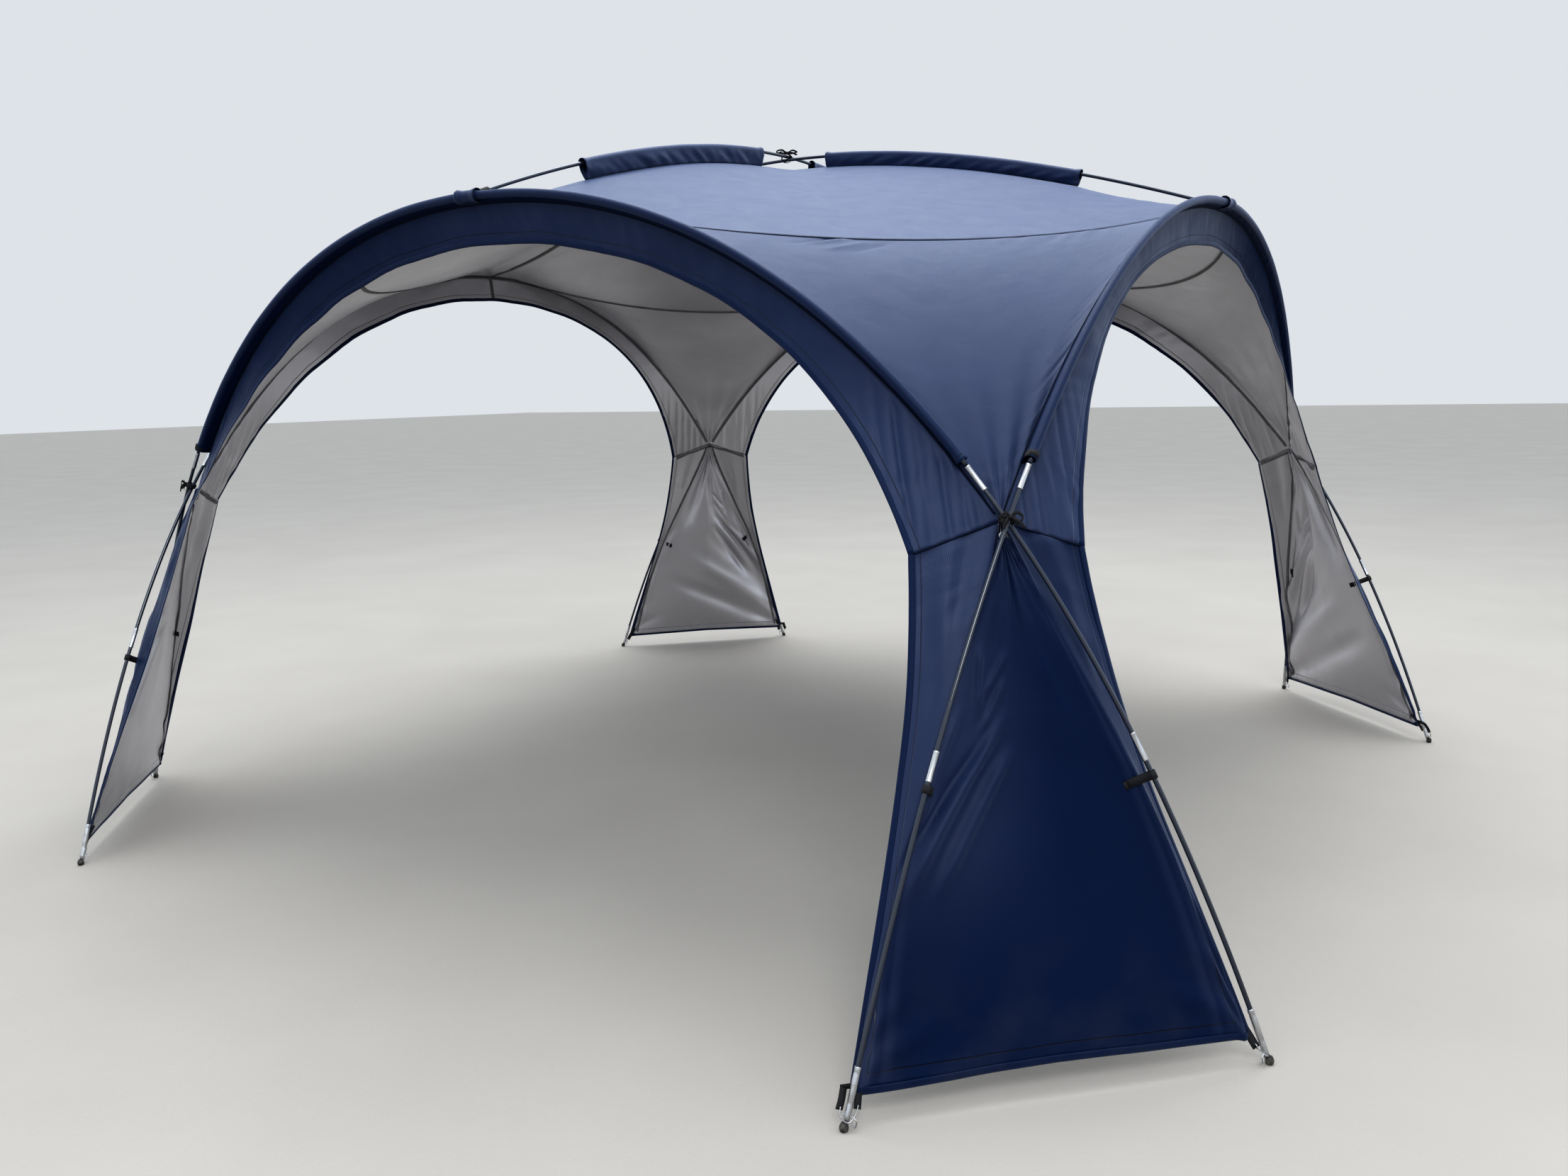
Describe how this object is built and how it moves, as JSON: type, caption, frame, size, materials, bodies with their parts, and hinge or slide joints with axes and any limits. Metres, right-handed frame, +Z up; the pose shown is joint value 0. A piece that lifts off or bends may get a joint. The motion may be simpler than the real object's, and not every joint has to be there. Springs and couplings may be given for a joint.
{
  "type": "pole-framed dome event shelter",
  "caption": "Dome-shaped fabric event shelter: bent pole arches cross over splayed cloth legs at the corners, with arched openings between them and roof poles over the canopy.",
  "frame": {"origin": "on the ground, under the middle of the roof", "axes": "+Z up, the front opening faces -Y, +X to the right seen from the front"},
  "size_m": [4.1328, 4.1328, 2.278],
  "materials": {
    "canopy_cloth": "coated polyester, dark navy outside and silver grey inside",
    "pole": "black fibreglass rods with dull metal ferrules",
    "steel": "zinc-plated steel tube, scuffed",
    "webbing": "black woven webbing and ribbon"
  },
  "bodies": {
    "root": {"front_arch_right_leg_pole": "pole", "front_arch_left_leg_pole": "pole", "front_arch_right_foot": "steel", "front_arch_left_foot": "steel", "front_arch_bow_pole": "pole", "front_hood": "canopy_cloth", "front_roof_sleeve": "canopy_cloth", "front_apex_pocket": "webbing", "right_arch_right_leg_pole": "pole", "right_arch_left_leg_pole": "pole", "right_arch_right_foot": "steel", "right_arch_left_foot": "steel", "right_arch_bow_pole": "pole", "right_hood": "canopy_cloth", "right_roof_sleeve": "canopy_cloth", "right_apex_pocket": "webbing", "back_arch_right_leg_pole": "pole", "back_arch_left_leg_pole": "pole", "back_arch_right_foot": "steel", "back_arch_left_foot": "steel", "back_arch_bow_pole": "pole", "back_hood": "canopy_cloth", "back_roof_sleeve": "canopy_cloth", "back_apex_pocket": "webbing", "left_arch_right_leg_pole": "pole", "left_arch_left_leg_pole": "pole", "left_arch_right_foot": "steel", "left_arch_left_foot": "steel", "left_arch_bow_pole": "pole", "left_hood": "canopy_cloth", "left_roof_sleeve": "canopy_cloth", "left_apex_pocket": "webbing", "front_right_corner_sheet": "canopy_cloth", "front_right_leg_sheet": "canopy_cloth", "front_right_corner_tie": "webbing", "back_right_corner_sheet": "canopy_cloth", "back_right_leg_sheet": "canopy_cloth", "back_right_corner_tie": "webbing", "back_left_corner_sheet": "canopy_cloth", "back_left_leg_sheet": "canopy_cloth", "back_left_corner_tie": "webbing", "front_left_corner_sheet": "canopy_cloth", "front_left_leg_sheet": "canopy_cloth", "front_left_corner_tie": "webbing", "roof_sheet": "canopy_cloth", "front_to_back_roof_pole": "pole", "left_to_right_roof_pole": "pole", "roof_tie": "webbing"}
  },
  "joints": []
}
